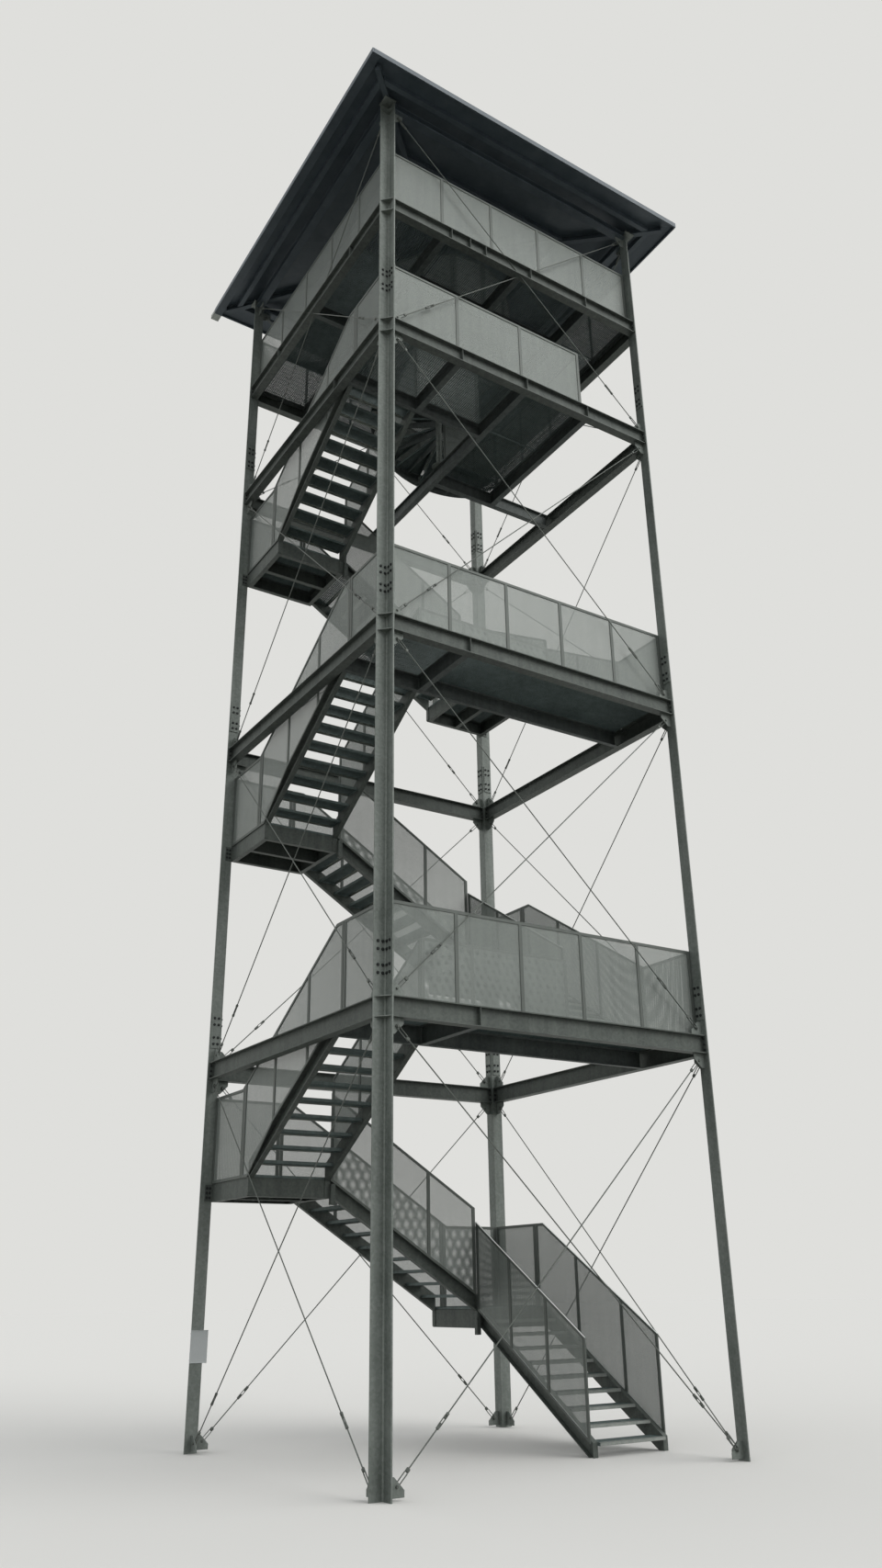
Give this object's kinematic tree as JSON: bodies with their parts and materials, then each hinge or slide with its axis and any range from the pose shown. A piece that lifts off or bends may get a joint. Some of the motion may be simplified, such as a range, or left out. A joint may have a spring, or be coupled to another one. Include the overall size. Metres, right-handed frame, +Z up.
{
  "type": "fire lookout tower",
  "caption": "Open galvanised steel lookout tower with winding stairs, grated decks, perforated guards, crossed rod bracing and a low hipped roof.",
  "frame": {"origin": "middle of the plan at ground level, halfway between the heels of opposite columns", "axes": "+Z up; -Y towards the front face, which has no flight; the first flight climbs along +Y on the +X side"},
  "size_m": [6.5, 6.5, 20.7417],
  "materials": {
    "galvanised": "hot-dip galvanised, weathered matt grey",
    "grating": "galvanised bar grating, dull",
    "guard_sheet": "galvanised perforated sheet in a flat-bar frame, satin",
    "rods": "galvanised round bar, satin",
    "roof_sheet": "dark blue-grey coated sheet, satin",
    "trim": "folded galvanised trim, satin"
  },
  "bodies": {
    "root": {"column_front": "galvanised", "column_right": "galvanised", "column_back": "galvanised", "column_left": "galvanised", "column_fittings": "galvanised", "floor_beams_1": "galvanised", "floor_beams_2": "galvanised", "floor_beams_3": "galvanised", "floor_beams_4": "galvanised", "joists_1": "galvanised", "joists_2": "galvanised", "joists_3": "galvanised", "joists_4": "galvanised", "gratings_1": "grating", "gratings_2": "grating", "gratings_3": "grating", "gratings_4": "grating", "landing_frames": "galvanised", "stringers_1": "galvanised", "stringers_2": "galvanised", "stringers_3": "galvanised", "treads_1": "grating", "treads_2": "grating", "treads_3": "grating", "outer_guards_1": "guard_sheet", "outer_guards_2": "guard_sheet", "outer_guards_3": "guard_sheet", "inner_guards_1": "guard_sheet", "inner_guards_2": "guard_sheet", "inner_guards_3": "guard_sheet", "deck_guards_1": "guard_sheet", "deck_guards_2": "guard_sheet", "deck_guards_3": "guard_sheet", "deck_guards_4": "guard_sheet", "newel_post": "galvanised", "winding_treads": "grating", "winding_guard": "guard_sheet", "roof_beams": "galvanised", "hip_rafters": "galvanised", "roof_panels": "roof_sheet", "eaves_trim": "trim", "bracing_front": "rods", "bracing_right": "rods", "bracing_back": "rods", "bracing_left": "rods"}
  },
  "joints": []
}
